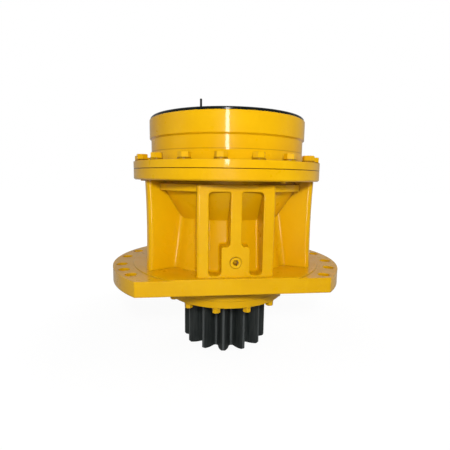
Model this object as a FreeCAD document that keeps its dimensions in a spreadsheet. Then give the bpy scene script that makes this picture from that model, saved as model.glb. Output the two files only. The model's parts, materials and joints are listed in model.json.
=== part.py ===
import FreeCAD, Part
import math
import os

import Sketcher
from FreeCAD import Placement, Rotation, Vector

# Swing gearbox: a ribbed cast casing on a bolting plate, a ring gear bolted on top, two planetary
# stages inside it, and an output pinion shaft on two tapered roller bearings.
# Frame: +Z is the gearbox axis, towards the motor end. Z = 0 is the underside of the bolting plate.
# -Y is the front, with the level plug. An azimuth is counted from the front towards +X, in degrees.

doc = FreeCAD.newDocument("SwingGearbox")
sheet = doc.addObject("Spreadsheet::Sheet", "Sizes")
filled_rows = []


class Size(float):
    """A length or an angle that also carries its formula in the sheet."""

    def __new__(cls, value, formula):
        number = super().__new__(cls, value)
        number.formula = formula
        return number

    def __add__(self, other):
        return Size(float(self) + float(other), f"({self.formula} + {formula_of(other)})")

    def __sub__(self, other):
        return Size(float(self) - float(other), f"({self.formula} - {formula_of(other)})")

    def __mul__(self, other):
        return Size(float(self) * float(other), f"({self.formula} * {formula_of(other)})")

    def __truediv__(self, other):
        return Size(float(self) / float(other), f"({self.formula} / {formula_of(other)})")

    def __neg__(self):
        return Size(-float(self), f"(0 - {self.formula})")

    __radd__ = __add__
    __rmul__ = __mul__


def formula_of(value):
    """The sheet formula of a size, or the plain number."""
    return getattr(value, "formula", repr(float(value)))


def size(alias, value):
    """Writes one driving size into the next cell of the sheet and gives it back."""
    filled_rows.append(alias)
    cell = f"B{len(filled_rows)}"
    sheet.set(f"A{len(filled_rows)}", alias)
    sheet.set(cell, str(value))
    sheet.setAlias(cell, alias)
    return Size(value, f"Sizes.{alias}")


# Clearances and fits
press_gap = size("press_gap", 0.02)
running_gap = size("running_gap", 0.06)
end_float = size("end_float", 0.3)
seat_gap = size("seat_gap", 0.1)
overrun = size("overrun", 1)
thread_run_out = size("thread_run_out", 5)
bolt_bevel_share = size("bolt_bevel_share", 0.6)
bolt_turn = size("bolt_turn", 21)

# Bolting plate of the casing
plate_radius = size("plate_radius", 297.3)
plate_flat = size("plate_flat", 200.6)
plate_thickness = size("plate_thickness", 35)
plate_boss_radius = size("plate_boss_radius", 246)
plate_boss_height = size("plate_boss_height", 2)
mount_circle = size("mount_circle", 274.5)
mount_hole_radius = size("mount_hole_radius", 14)
mount_inner_angle = size("mount_inner_angle", 9)
mount_near_angle = size("mount_near_angle", 20.6)
mount_near_last_angle = size("mount_near_last_angle", 31.3)
mount_far_angle = size("mount_far_angle", 24)
mount_far_last_angle = size("mount_far_last_angle", 39.3)

# Cast body between the plate and the flange
nose_radius = size("nose_radius", 156)
nose_depth = size("nose_depth", 33)
core_foot_radius = size("core_foot_radius", 163)
neck_radius = size("neck_radius", 142)
neck_height = size("neck_height", 159)
band_height = size("band_height", 16)
cone_top_radius = size("cone_top_radius", 187)
band_radius = size("band_radius", 199)
band_top_height = size("band_top_height", 243)
relief_radius = size("relief_radius", 187)
flange_underside = size("flange_underside", 250.6)
joint_height = size("joint_height", 276.7)
flange_radius = size("flange_radius", 241)
flange_corner = size("flange_corner", 3)
joint_chamfer = size("joint_chamfer", 0.8)

# Ribs
side_rib_azimuth = size("side_rib_azimuth", 61)
side_rib_inset = size("side_rib_inset", 12)
side_rib_waist = size("side_rib_waist", 2.5)
side_rib_thickness = size("side_rib_thickness", 25)
side_rib_edge = size("side_rib_edge", 9)
rib_root = size("rib_root", 100)
front_face = size("front_face", 190)
frame_half_width = size("frame_half_width", 86.5)
frame_rib_width = size("frame_rib_width", 26)
centre_rib_width = size("centre_rib_width", 25)
frame_edge = size("frame_edge", 6)
rib_root_rounding = size("rib_root_rounding", 14)
window_root_rounding = size("window_root_rounding", 5)
window_edge = size("window_edge", 2)
pocket_floor = size("pocket_floor", 41)
pocket_corner = size("pocket_corner", 9)
pad_half_width = size("pad_half_width", 32)
pad_top = size("pad_top", 106)
pad_corner = size("pad_corner", 5)
pad_neck_fillet = size("pad_neck_fillet", 9)

# Level plug in the pad
plug_height = size("plug_height", 71)
plug_spot_radius = size("plug_spot_radius", 13.4)
plug_spot_depth = size("plug_spot_depth", 1.5)
plug_thread_radius = size("plug_thread_radius", 9)
plug_thread_length = size("plug_thread_length", 16)
plug_collar_radius = size("plug_collar_radius", 12)
plug_collar_height = size("plug_collar_height", 2.4)
plug_socket_flats = size("plug_socket_flats", 12)
plug_socket_depth = size("plug_socket_depth", 9)
gasket_thickness = size("gasket_thickness", 1)

# Flange joint between the casing and the ring gear
ring_flange_thickness = size("ring_flange_thickness", 17.6)
flange_bolt_inset = size("flange_bolt_inset", 15.5)
flange_bolt_count = size("flange_bolt_count", 18)
flange_bolt_azimuth = size("flange_bolt_azimuth", 10)
flange_bolt_radius = size("flange_bolt_radius", 8)
flange_bolt_length = size("flange_bolt_length", 44)
flange_bolt_flats = size("flange_bolt_flats", 24)
flange_bolt_head = size("flange_bolt_head", 13)
flange_hole_radius = size("flange_hole_radius", 8.75)
washer_radius = size("washer_radius", 15)
washer_thickness = size("washer_thickness", 3)
dowel_inset = size("dowel_inset", 10)
dowel_radius = size("dowel_radius", 5)
dowel_length = size("dowel_length", 40)
dowel_end_below_flange = size("dowel_end_below_flange", 2.5)
dowel_left_azimuth = size("dowel_left_azimuth", -64.5)
dowel_right_azimuth = size("dowel_right_azimuth", 24.5)
seal_groove_radius = size("seal_groove_radius", 200)
seal_groove_width = size("seal_groove_width", 6)
seal_groove_depth = size("seal_groove_depth", 4)

# Ring gear
ring_radius = size("ring_radius", 200)
ring_lower_radius = size("ring_lower_radius", 196)
ring_top_height = size("ring_top_height", 398)
ring_band_bottom = size("ring_band_bottom", 352)
ring_flare_top = size("ring_flare_top", 317)
ring_flare_middle = size("ring_flare_middle", 308)
ring_flare_radius = size("ring_flare_radius", 203)
ring_register_radius = size("ring_register_radius", 184)
ring_register_depth = size("ring_register_depth", 8)
ring_top_chamfer = size("ring_top_chamfer", 1.5)

# Transport cover and its peg
cover_thickness = size("cover_thickness", 6.6)
cover_radius = size("cover_radius", 197.5)
cover_edge = size("cover_edge", 2.5)
cover_lip_width = size("cover_lip_width", 8)
cover_lip_depth = size("cover_lip_depth", 5)
peg_radius = size("peg_radius", 2.3)
peg_circle = size("peg_circle", 191)
peg_azimuth = size("peg_azimuth", -23.9)
peg_top_height = size("peg_top_height", 420.6)
peg_depth = size("peg_depth", 10)

# Planetary gears: one toothed ring serves both stages
gear_module = size("gear_module", 6)
ring_teeth = size("ring_teeth", 57)
ring_addendum = size("ring_addendum", 0.75)
gear_dedendum = size("gear_dedendum", 1.25)
flank_thinning = size("flank_thinning", 0.22)
pressure_angle = size("pressure_angle", 20)
planet_count = size("planet_count", 3)
second_sun_teeth = size("second_sun_teeth", 21)
second_planet_teeth = size("second_planet_teeth", 18)
first_sun_teeth = size("first_sun_teeth", 15)
first_planet_teeth = size("first_planet_teeth", 21)
second_face_width = size("second_face_width", 44)
first_face_width = size("first_face_width", 30)
thrust_thickness = size("thrust_thickness", 2)
thrust_radius = size("thrust_radius", 36)
second_pin_radius = size("second_pin_radius", 22)
second_bush_radius = size("second_bush_radius", 29)
first_pin_radius = size("first_pin_radius", 18)
first_bush_radius = size("first_bush_radius", 24)

# Carriers
carrier_radius = size("carrier_radius", 158)
web_circle = size("web_circle", 125)
web_radius = size("web_radius", 29)
second_plate_thickness = size("second_plate_thickness", 31)
second_cap_thickness = size("second_cap_thickness", 12)
second_cap_bore = size("second_cap_bore", 75)
second_hub_radius = size("second_hub_radius", 82)
stage_gap = size("stage_gap", 3.4)
first_plate_thickness = size("first_plate_thickness", 10)
first_cap_thickness = size("first_cap_thickness", 8)
first_cap_bore = size("first_cap_bore", 60)
first_hub_radius = size("first_hub_radius", 68)
first_hub_drop = size("first_hub_drop", 11)
sun_spline_radius = size("sun_spline_radius", 50)
sun_spline_teeth = size("sun_spline_teeth", 16)
second_sun_ring_radius = size("second_sun_ring_radius", 66)
second_sun_ring_bore = size("second_sun_ring_bore", 52)
first_sun_ring_radius = size("first_sun_ring_radius", 43)
first_sun_ring_bore = size("first_sun_ring_bore", 26)
motor_spline_radius = size("motor_spline_radius", 20)
motor_spline_teeth = size("motor_spline_teeth", 14)
spline_tooth_depth = size("spline_tooth_depth", 4)
first_sun_tail_radius = size("first_sun_tail_radius", 35)
first_sun_tail = size("first_sun_tail", 8)

# Output pinion and its shaft
pinion_teeth = size("pinion_teeth", 13)
pinion_module = size("pinion_module", 14)
pinion_shift = size("pinion_shift", 0.5)
pinion_azimuth = size("pinion_azimuth", -8.2)
pinion_bottom = size("pinion_bottom", -180)
pinion_top = size("pinion_top", -62)
pinion_chamfer = size("pinion_chamfer", 3)
land_radius = size("land_radius", 85)
journal_radius = size("journal_radius", 70)
upper_journal_radius = size("upper_journal_radius", 60)
journal_step = size("journal_step", 2)
shaft_spline_radius = size("shaft_spline_radius", 56)
shaft_spline_teeth = size("shaft_spline_teeth", 20)

# Tapered roller bearings
lower_bearing_bottom = size("lower_bearing_bottom", -18)
lower_bearing_width = size("lower_bearing_width", 68)
lower_bearing_radius = size("lower_bearing_radius", 125)
lower_roller_radius = size("lower_roller_radius", 12.5)
lower_roller_count = size("lower_roller_count", 18)
upper_bearing_bottom = size("upper_bearing_bottom", 138)
upper_bearing_width = size("upper_bearing_width", 58)
upper_bearing_radius = size("upper_bearing_radius", 107.5)
upper_roller_radius = size("upper_roller_radius", 10.5)
upper_roller_count = size("upper_roller_count", 18)
roller_tilt = size("roller_tilt", 14)
roller_end_space = size("roller_end_space", 9)
cage_thickness = size("cage_thickness", 6)
cage_window_gap = size("cage_window_gap", 0.3)
cage_end_gap = size("cage_end_gap", 3)
bearing_shoulder = size("bearing_shoulder", 12)
shoulder_height = size("shoulder_height", 10)
oil_space_radius = size("oil_space_radius", 118)
spacer_wall = size("spacer_wall", 11)

# Chamber of the second stage in the casing
chamber_radius = size("chamber_radius", 172)
chamber_floor = size("chamber_floor", 230)

# Seal retainer under the nose
retainer_thickness = size("retainer_thickness", 16)
retainer_bore = size("retainer_bore", 92)
oil_seal_radius = size("oil_seal_radius", 105)
oil_seal_width = size("oil_seal_width", 14)
oil_seal_lip = size("oil_seal_lip", 4)
retainer_bolt_circle = size("retainer_bolt_circle", 145)
retainer_bolt_count = size("retainer_bolt_count", 12)
retainer_bolt_azimuth = size("retainer_bolt_azimuth", 15)
retainer_bolt_radius = size("retainer_bolt_radius", 6)
retainer_bolt_length = size("retainer_bolt_length", 32)
retainer_bolt_flats = size("retainer_bolt_flats", 18)
retainer_bolt_head = size("retainer_bolt_head", 11)
retainer_washer_radius = size("retainer_washer_radius", 10.5)
retainer_washer_thickness = size("retainer_washer_thickness", 3)
retainer_hole_radius = size("retainer_hole_radius", 6.75)

# Lock plate on the shaft's top end
lock_plate_radius = size("lock_plate_radius", 60)
lock_plate_thickness = size("lock_plate_thickness", 10)
lock_plate_clearance = size("lock_plate_clearance", 2)
lock_bolt_circle = size("lock_bolt_circle", 32)
lock_bolt_count = size("lock_bolt_count", 3)
lock_bolt_radius = size("lock_bolt_radius", 7)
lock_bolt_length = size("lock_bolt_length", 35)
lock_bolt_flats = size("lock_bolt_flats", 21)
lock_bolt_head = size("lock_bolt_head", 9)

doc.recompute()

# Heights and centre distances that follow from the sizes above
origin = Size(0, "0")
half_turn = Size(180, "180")
plate_top = plate_thickness + plate_boss_height
cone_top_height = band_top_height - band_height
side_rib_reach = flange_radius - side_rib_inset
flange_bolt_circle = flange_radius - flange_bolt_inset
dowel_circle = flange_radius - dowel_inset
ring_flange_top = joint_height + ring_flange_thickness
washer_top = ring_flange_top + washer_thickness
lower_bearing_top = lower_bearing_bottom + lower_bearing_width
upper_bearing_top = upper_bearing_bottom + upper_bearing_width
retainer_bottom = -nose_depth - retainer_thickness
retainer_bolt_grip = retainer_washer_thickness + retainer_thickness
retainer_thread_depth = retainer_bolt_length - retainer_bolt_grip + thread_run_out
second_floor = joint_height + end_float
second_carrier_bottom = second_floor - second_plate_thickness
second_gear_bottom = second_floor + thrust_thickness + end_float
second_gear_top = second_gear_bottom + second_face_width
second_cap_bottom = second_gear_top + end_float + thrust_thickness
second_cap_top = second_cap_bottom + second_cap_thickness
first_carrier_bottom = second_cap_top + stage_gap
first_floor = first_carrier_bottom + first_plate_thickness
first_gear_bottom = first_floor + thrust_thickness + end_float
first_gear_top = first_gear_bottom + first_face_width
first_cap_bottom = first_gear_top + end_float + thrust_thickness
first_cap_top = first_cap_bottom + first_cap_thickness
second_centre_distance = (second_sun_teeth + second_planet_teeth) * gear_module / 2
first_centre_distance = (first_sun_teeth + first_planet_teeth) * gear_module / 2
ring_pitch_radius = ring_teeth * gear_module / 2
ring_root_radius = ring_pitch_radius + gear_module * gear_dedendum
ring_tip_radius = ring_pitch_radius - gear_module * ring_addendum
shaft_top = second_carrier_bottom


# Sketches and bodies

def origin_feature(body, role):
    """One of a body's own origin planes or axes."""
    return next(feature for feature in body.Origin.OriginFeatures if feature.Role == role)


def new_sketch(body, name, plane="XZ_Plane", lift=origin):
    """A sketch on one of the body's own origin planes, lifted along the plane's normal."""
    sketch = body.newObject("Sketcher::SketchObject", name)
    sketch.AttachmentSupport = [(origin_feature(body, plane), "")]
    sketch.MapMode = "FlatFace"
    sketch.AttachmentOffset = Placement(Vector(0, 0, float(lift)), Rotation())
    if float(lift) != 0:
        sketch.setExpression("AttachmentOffset.Base.z", formula_of(lift))
    return sketch


def hold(sketch, kind, geometry, point, value):
    """Ties one coordinate of a sketch point to its size."""
    if float(value) == 0:
        axis = -2 if kind == "DistanceX" else -1
        sketch.addConstraint(Sketcher.Constraint("PointOnObject", geometry, point, axis))
        return
    index = sketch.addConstraint(Sketcher.Constraint(kind, -1, 1, geometry, point, float(value)))
    sketch.setExpression(f"Constraints[{index}]", formula_of(value))


def draw_outline(sketch, corners):
    """A closed outline of straight lines whose corners all follow their sizes."""
    count = len(corners)
    points = [Vector(float(x), float(y), 0) for x, y in corners]
    first = sketch.GeometryCount
    for index in range(count):
        sketch.addGeometry(Part.LineSegment(points[index], points[(index + 1) % count]), False)
    for index in range(count):
        following = first + (index + 1) % count
        sketch.addConstraint(Sketcher.Constraint("Coincident", first + index, 2, following, 1))
    for index, (x, y) in enumerate(corners):
        hold(sketch, "DistanceX", first + index, 1, x)
        hold(sketch, "DistanceY", first + index, 1, y)


def draw_rounded_outline(sketch, corners, radii):
    """A closed outline of level and upright lines, each corner rounded by its own radius or sharp at 0."""
    count = len(corners)
    points = [Vector(float(x), float(y), 0) for x, y in corners]
    ways = [(points[(index + 1) % count] - points[index]).normalize() for index in range(count)]
    starts = [points[index] + ways[index] * float(radii[index]) for index in range(count)]
    ends = [points[(index + 1) % count] - ways[index] * float(radii[(index + 1) % count])
            for index in range(count)]
    lines = [sketch.addGeometry(Part.LineSegment(start, end), False) for start, end in zip(starts, ends)]
    for index in range(count):
        level = abs(ways[index].y) < 0.5
        sketch.addConstraint(Sketcher.Constraint("Horizontal" if level else "Vertical", lines[index]))
        x, y = corners[index]
        if level:
            hold(sketch, "DistanceY", lines[index], 1, y)
        else:
            hold(sketch, "DistanceX", lines[index], 1, x)
        before = (index - 1) % count
        if float(radii[index]) == 0:
            sketch.addConstraint(Sketcher.Constraint("Coincident", lines[before], 2, lines[index], 1))
            continue
        turn_left = (ways[before].cross(ways[index])).z > 0
        centre = ends[before] + ways[index] * float(radii[index])
        first, last = (ends[before], starts[index]) if turn_left else (starts[index], ends[before])
        first_angle = math.atan2(first.y - centre.y, first.x - centre.x)
        last_angle = math.atan2(last.y - centre.y, last.x - centre.x)
        circle = Part.Circle(centre, Vector(0, 0, 1), float(radii[index]))
        arc = sketch.addGeometry(Part.ArcOfCircle(circle, first_angle, last_angle), False)
        entry, leaving = (1, 2) if turn_left else (2, 1)
        sketch.addConstraint(Sketcher.Constraint("Tangent", lines[before], 2, arc, entry))
        sketch.addConstraint(Sketcher.Constraint("Tangent", arc, leaving, lines[index], 1))
        radius = sketch.addConstraint(Sketcher.Constraint("Radius", arc, float(radii[index])))
        sketch.setExpression(f"Constraints[{radius}]", formula_of(radii[index]))


def draw_circle(sketch, radius, reach=origin, azimuth=origin):
    """A circle whose centre lies at a reach from the origin, in the direction of an azimuth."""
    x = polar_x(reach, azimuth)
    y = polar_y(reach, azimuth)
    circle = Part.Circle(Vector(float(x), float(y), 0), Vector(0, 0, 1), float(radius))
    index = sketch.addGeometry(circle, False)
    hold(sketch, "DistanceX", index, 3, x)
    hold(sketch, "DistanceY", index, 3, y)
    constraint = sketch.addConstraint(Sketcher.Constraint("Radius", index, float(radius)))
    sketch.setExpression(f"Constraints[{constraint}]", formula_of(radius))


def polar_x(reach, azimuth):
    """X of a point at a reach and an azimuth from the front."""
    value = round(float(reach) * math.sin(math.radians(azimuth)), 9)
    return Size(value, f"({formula_of(reach)} * sin({formula_of(azimuth)}))")


def polar_y(reach, azimuth):
    """Y of a point at a reach and an azimuth from the front."""
    value = round(-float(reach) * math.cos(math.radians(azimuth)), 9)
    return Size(value, f"(0 - {formula_of(reach)} * cos({formula_of(azimuth)}))")


def new_body(name):
    """An empty body with its own label."""
    body = doc.addObject("PartDesign::Body", name)
    body.Label = name
    return body


def add_turn(body, name, outline, kind="PartDesign::Revolution"):
    """A turned form, or a turned cut, about the gearbox axis."""
    sketch = new_sketch(body, name + "_section")
    draw_outline(sketch, outline)
    turn = body.newObject(kind, name)
    turn.Profile = sketch
    turn.ReferenceAxis = (sketch, ["V_Axis"])
    turn.Angle = 360
    body.Tip = turn
    doc.recompute()
    return turn


def turned(name, outline):
    """A body turned from one outline of radii and heights."""
    body = new_body(name)
    add_turn(body, name + "_turn", outline)
    return body


def pad(body, sketch, name, length, inwards=False, midplane=False):
    """Adds the sketch as a solid of the given length."""
    feature = body.newObject("PartDesign::Pad", name)
    feature.Profile = sketch
    feature.Length = float(length)
    feature.setExpression("Length", formula_of(length))
    feature.Reversed = inwards
    feature.Midplane = midplane
    body.Tip = feature
    doc.recompute()
    return feature


def pocket(body, sketch, name, length, along_normal=True):
    """Cuts the sketch out of the body and makes sure that it took material away."""
    before = body.Shape.Volume
    feature = body.newObject("PartDesign::Pocket", name)
    feature.Profile = sketch
    feature.Length = float(length)
    feature.setExpression("Length", formula_of(length))
    feature.Reversed = along_normal
    body.Tip = feature
    doc.recompute()
    if not feature.Shape.Volume < before:
        raise RuntimeError(f"{name} cuts nothing")
    return feature


def polar(body, feature, name, count):
    """Repeats a feature evenly round the gearbox axis."""
    pattern = body.newObject("PartDesign::PolarPattern", name)
    pattern.Originals = [feature]
    pattern.Axis = (origin_feature(body, "Z_Axis"), [""])
    pattern.Angle = 360
    pattern.Occurrences = int(count)
    pattern.setExpression("Occurrences", formula_of(count))
    body.Tip = pattern
    doc.recompute()
    return pattern


def holes_round(body, name, radius, circle, azimuth, count, bottom, depth):
    """A ring of upright holes, cut upwards from a level."""
    sketch = new_sketch(body, name + "_place", "XY_Plane", bottom)
    draw_circle(sketch, radius, circle, azimuth)
    cut = pocket(body, sketch, name + "_first", depth)
    return polar(body, cut, name + "_ring", count)


def fillet(body, name, radius, belongs):
    """Rounds the edges of the body's last feature that the rule picks."""
    base = body.Tip
    edges = [f"Edge{index}" for index, edge in enumerate(base.Shape.Edges, start=1) if belongs(edge)]
    if not edges:
        raise RuntimeError(f"{name} finds no edge")
    feature = body.newObject("PartDesign::Fillet", name)
    feature.Base = (base, edges)
    feature.Radius = float(radius)
    feature.setExpression("Radius", formula_of(radius))
    body.Tip = feature
    doc.recompute()
    return feature


def ring_copies(name, piece, count, first_azimuth, own_turn=0.0):
    """Separate copies of one piece, evenly spaced round the gearbox axis, as one sub-part.

    Each copy is turned about its own upright axis by own_turn degrees more than the one before it.
    """
    group = doc.addObject("Part::Feature", name)
    group.Label = name
    copies = []
    for index in range(int(count)):
        copy = piece.Shape.copy()
        copy.rotate(piece.Placement.Base, Vector(0, 0, 1), float(own_turn) * index)
        copy.rotate(Vector(0, 0, 0), Vector(0, 0, 1), float(first_azimuth) + 360.0 * index / int(count))
        copies.append(copy)
    group.Shape = Part.makeCompound(copies)
    return group


# Casing

def side_rib(body, name, azimuth):
    """An upright rib with a slightly waisted outer edge, square to the axis at an azimuth."""
    sketch = new_sketch(body, name + "_side")
    sketch.AttachmentOffset = Placement(Vector(0, 0, 0), Rotation(Vector(0, 1, 0), float(azimuth) - 90))
    sketch.setExpression("AttachmentOffset.Rotation.Angle", f"{formula_of(azimuth)} - 90")
    foot = Vector(float(side_rib_reach), float(plate_thickness), 0)
    head = Vector(float(side_rib_reach), float(flange_underside), 0)
    inner_head = Vector(float(rib_root), head.y, 0)
    inner_foot = Vector(float(rib_root), foot.y, 0)
    height = flange_underside - plate_thickness
    edge_radius = (height * height / 4 + side_rib_waist * side_rib_waist) / (side_rib_waist * 2)
    centre = Vector(float(side_rib_reach - side_rib_waist + edge_radius), (foot.y + head.y) / 2, 0)
    spread = math.asin(float(height) / 2 / float(edge_radius))
    circle = Part.Circle(centre, Vector(0, 0, 1), float(edge_radius))
    sketch.addGeometry(Part.LineSegment(inner_head, inner_foot), False)
    sketch.addGeometry(Part.LineSegment(inner_foot, foot), False)
    sketch.addGeometry(Part.ArcOfCircle(circle, math.pi - spread, math.pi + spread), False)
    sketch.addGeometry(Part.LineSegment(head, inner_head), False)
    sketch.addConstraint(Sketcher.Constraint("Coincident", 0, 2, 1, 1))
    sketch.addConstraint(Sketcher.Constraint("Coincident", 1, 2, 2, 2))
    sketch.addConstraint(Sketcher.Constraint("Coincident", 2, 1, 3, 1))
    sketch.addConstraint(Sketcher.Constraint("Coincident", 3, 2, 0, 1))
    hold(sketch, "DistanceX", 0, 1, rib_root)
    hold(sketch, "DistanceY", 0, 1, flange_underside)
    hold(sketch, "DistanceX", 1, 1, rib_root)
    hold(sketch, "DistanceY", 1, 1, plate_thickness)
    hold(sketch, "DistanceX", 1, 2, side_rib_reach)
    hold(sketch, "DistanceY", 1, 2, plate_thickness)
    hold(sketch, "DistanceX", 3, 1, side_rib_reach)
    hold(sketch, "DistanceY", 3, 1, flange_underside)
    radius = sketch.addConstraint(Sketcher.Constraint("Radius", 2, float(edge_radius)))
    sketch.setExpression(f"Constraints[{radius}]", formula_of(edge_radius))
    return pad(body, sketch, name, side_rib_thickness, midplane=True)


def rib_frame(body, name, lift, with_pad):
    """Three upright ribs tied into one flat frame, with two rounded windows between them.

    With a pad, the centre rib widens at its foot into the boss that takes the level plug.
    """
    sketch = new_sketch(body, name + "_face", "XZ_Plane", lift)
    draw_outline(sketch, [(-frame_half_width, plate_thickness), (frame_half_width, plate_thickness),
                          (frame_half_width, band_top_height), (-frame_half_width, band_top_height)])
    inner = centre_rib_width / 2
    outer = frame_half_width - frame_rib_width
    for side in (-1, 1):
        if with_pad:
            corners = [(outer * side, pocket_floor), (outer * side, cone_top_height),
                       (inner * side, cone_top_height), (inner * side, pad_top),
                       (pad_half_width * side, pad_top), (pad_half_width * side, pocket_floor)]
            radii = [pocket_corner, pocket_corner, pad_corner, pad_neck_fillet, pad_corner, pocket_corner]
        else:
            corners = [(outer * side, pocket_floor), (outer * side, cone_top_height),
                       (inner * side, cone_top_height), (inner * side, pocket_floor)]
            radii = [pocket_corner, pocket_corner, pocket_corner, pocket_corner]
        draw_rounded_outline(sketch, corners, radii)
    return pad(body, sketch, name, front_face - rib_root, inwards=float(lift) > 0)


def make_casing():
    """The cast casing: turned core, bolting plate, ribs, machined bores and bolt holes."""
    body = new_body("casing")
    add_turn(body, "casing_core", [
        (origin, -nose_depth), (nose_radius, -nose_depth), (nose_radius, plate_top / 2),
        (core_foot_radius, plate_top / 2), (neck_radius, neck_height),
        (cone_top_radius, cone_top_height), (band_radius, cone_top_height), (band_radius, band_top_height),
        (relief_radius, band_top_height),
        (relief_radius, flange_underside), (flange_radius - flange_corner, flange_underside),
        (flange_radius, flange_underside + flange_corner), (flange_radius, joint_height - joint_chamfer),
        (flange_radius - joint_chamfer, joint_height), (origin, joint_height)])
    plate = new_sketch(body, "plate_edge", "XY_Plane")
    draw_circle(plate, plate_radius)
    pad(body, plate, "plate", plate_thickness)
    boss = new_sketch(body, "plate_boss_edge", "XY_Plane", plate_thickness)
    draw_circle(boss, plate_boss_radius)
    pad(body, boss, "plate_boss", plate_boss_height)
    flats = new_sketch(body, "plate_flats", "XY_Plane")
    reach = plate_radius + plate_boss_height
    for side in (-1, 1):
        draw_outline(flats, [(-reach, plate_flat * side), (reach, plate_flat * side),
                             (reach, reach * side), (-reach, reach * side)])
    pocket(body, flats, "plate_flats_cut", plate_top + plate_boss_height)
    for name, lift in (("front_trim", front_face), ("rear_trim", -front_face)):
        trim = new_sketch(body, name + "_face", "XZ_Plane", lift)
        draw_outline(trim, [(-frame_half_width, plate_top), (frame_half_width, plate_top),
                            (frame_half_width, band_top_height), (-frame_half_width, band_top_height)])
        pocket(body, trim, name, band_radius - front_face + overrun, along_normal=lift > 0)
    rib_frame(body, "front_ribs", front_face, with_pad=True)
    rib_frame(body, "rear_ribs", -front_face, with_pad=False)
    for name, azimuth in (("right_front_rib", side_rib_azimuth),
                          ("left_front_rib", -side_rib_azimuth),
                          ("right_rear_rib", -side_rib_azimuth + 180),
                          ("left_rear_rib", side_rib_azimuth + 180)):
        side_rib(body, name, azimuth)
    round_casing(body)
    add_turn(body, "casing_bore", [
        (origin, -nose_depth - overrun), (lower_bearing_radius, -nose_depth - overrun),
        (lower_bearing_radius, lower_bearing_top),
        (lower_bearing_radius - bearing_shoulder, lower_bearing_top),
        (lower_bearing_radius - bearing_shoulder, lower_bearing_top + shoulder_height),
        (oil_space_radius, lower_bearing_top + shoulder_height * 2),
        (oil_space_radius, upper_bearing_bottom - shoulder_height * 3),
        (upper_bearing_radius - bearing_shoulder, upper_bearing_bottom - shoulder_height),
        (upper_bearing_radius - bearing_shoulder, upper_bearing_bottom),
        (upper_bearing_radius, upper_bearing_bottom), (upper_bearing_radius, upper_bearing_top),
        (chamber_radius, chamber_floor), (chamber_radius, joint_height + overrun),
        (origin, joint_height + overrun)],
        "PartDesign::Groove")
    half_groove = seal_groove_width / 2
    add_turn(body, "joint_seal_groove", [
        (seal_groove_radius - half_groove, joint_height - seal_groove_depth),
        (seal_groove_radius + half_groove, joint_height - seal_groove_depth),
        (seal_groove_radius + half_groove, joint_height + overrun),
        (seal_groove_radius - half_groove, joint_height + overrun)], "PartDesign::Groove")
    holes_round(body, "flange_thread", flange_bolt_radius + seat_gap, flange_bolt_circle, flange_bolt_azimuth,
                flange_bolt_count, flange_underside - overrun, joint_height - flange_underside + overrun * 2)
    holes_round(body, "retainer_thread", retainer_bolt_radius + seat_gap, retainer_bolt_circle,
                retainer_bolt_azimuth, retainer_bolt_count, -nose_depth - overrun,
                retainer_thread_depth + overrun)
    dowels = new_sketch(body, "dowel_places", "XY_Plane", flange_underside - overrun)
    for azimuth in (dowel_left_azimuth, dowel_right_azimuth):
        draw_circle(dowels, dowel_radius + press_gap, dowel_circle, azimuth)
    pocket(body, dowels, "dowel_holes", joint_height - flange_underside + overrun * 2)
    mounts = new_sketch(body, "mount_places", "XY_Plane", -plate_boss_height)
    for side in (-1, 1):
        for angle in (mount_inner_angle, -mount_inner_angle, mount_near_angle, mount_near_last_angle,
                      -mount_far_angle, -mount_far_last_angle):
            draw_circle(mounts, mount_hole_radius, mount_circle, angle + 90 * side)
    pocket(body, mounts, "mount_holes", plate_top + plate_boss_height * 2)
    spot = new_sketch(body, "plug_spot", "XZ_Plane", front_face)
    draw_plug_circle(spot, plug_spot_radius)
    pocket(body, spot, "plug_spot_face", plug_spot_depth, along_normal=False)
    thread = new_sketch(body, "plug_thread", "XZ_Plane", front_face)
    draw_plug_circle(thread, plug_thread_radius + seat_gap)
    pocket(body, thread, "plug_hole", front_face - rib_root, along_normal=False)
    return body


def round_casing(body):
    """Rounds the casting: roots on the lower core, outer edges of the ribs, edges of the windows."""
    slack = 1.0
    touch = 0.01
    window_side = float(frame_half_width - frame_rib_width / 2)

    def on_lower_core(edge):
        box = edge.BoundBox
        if box.ZLength < float(pocket_corner) * 2 or box.ZMax > float(neck_height) + slack:
            return False
        point = edge.valueAt((edge.FirstParameter + edge.LastParameter) / 2)
        reach = math.hypot(point.x, point.y)
        on_seam = abs(point.y) < slack
        return float(neck_radius) - slack < reach < float(core_foot_radius) + slack and not on_seam

    def on_rib_root(edge):
        return on_lower_core(edge) and abs(edge.BoundBox.Center.x) > window_side

    def on_window_root(edge):
        return on_lower_core(edge) and abs(edge.BoundBox.Center.x) < window_side

    def on_side_rib(edge):
        if edge.BoundBox.ZLength < float(neck_height) / 2:
            return False
        point = edge.valueAt(edge.FirstParameter)
        return math.hypot(point.x, point.y) > float(side_rib_reach - side_rib_waist) - slack

    def on_frame_side(edge):
        box = edge.BoundBox
        upright = box.XLength < touch and box.YLength < touch and box.ZLength > float(neck_height) / 2
        return (upright and abs(abs(box.YMin) - float(front_face)) < touch
                and abs(abs(box.XMin) - float(frame_half_width)) < touch)

    def on_window_face(edge):
        box = edge.BoundBox
        flush = box.YLength < touch and abs(abs(box.YMin) - float(front_face)) < touch
        inside = max(abs(box.XMin), abs(box.XMax)) < float(frame_half_width) - slack
        return flush and inside and box.ZMin > float(plate_top) + touch

    fillet(body, "rib_roots", rib_root_rounding, on_rib_root)
    fillet(body, "window_roots", window_root_rounding, on_window_root)
    fillet(body, "side_rib_rounding", side_rib_edge, on_side_rib)
    fillet(body, "frame_side_rounding", frame_edge, on_frame_side)
    fillet(body, "frame_window_rounding", window_edge, on_window_face)


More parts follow.
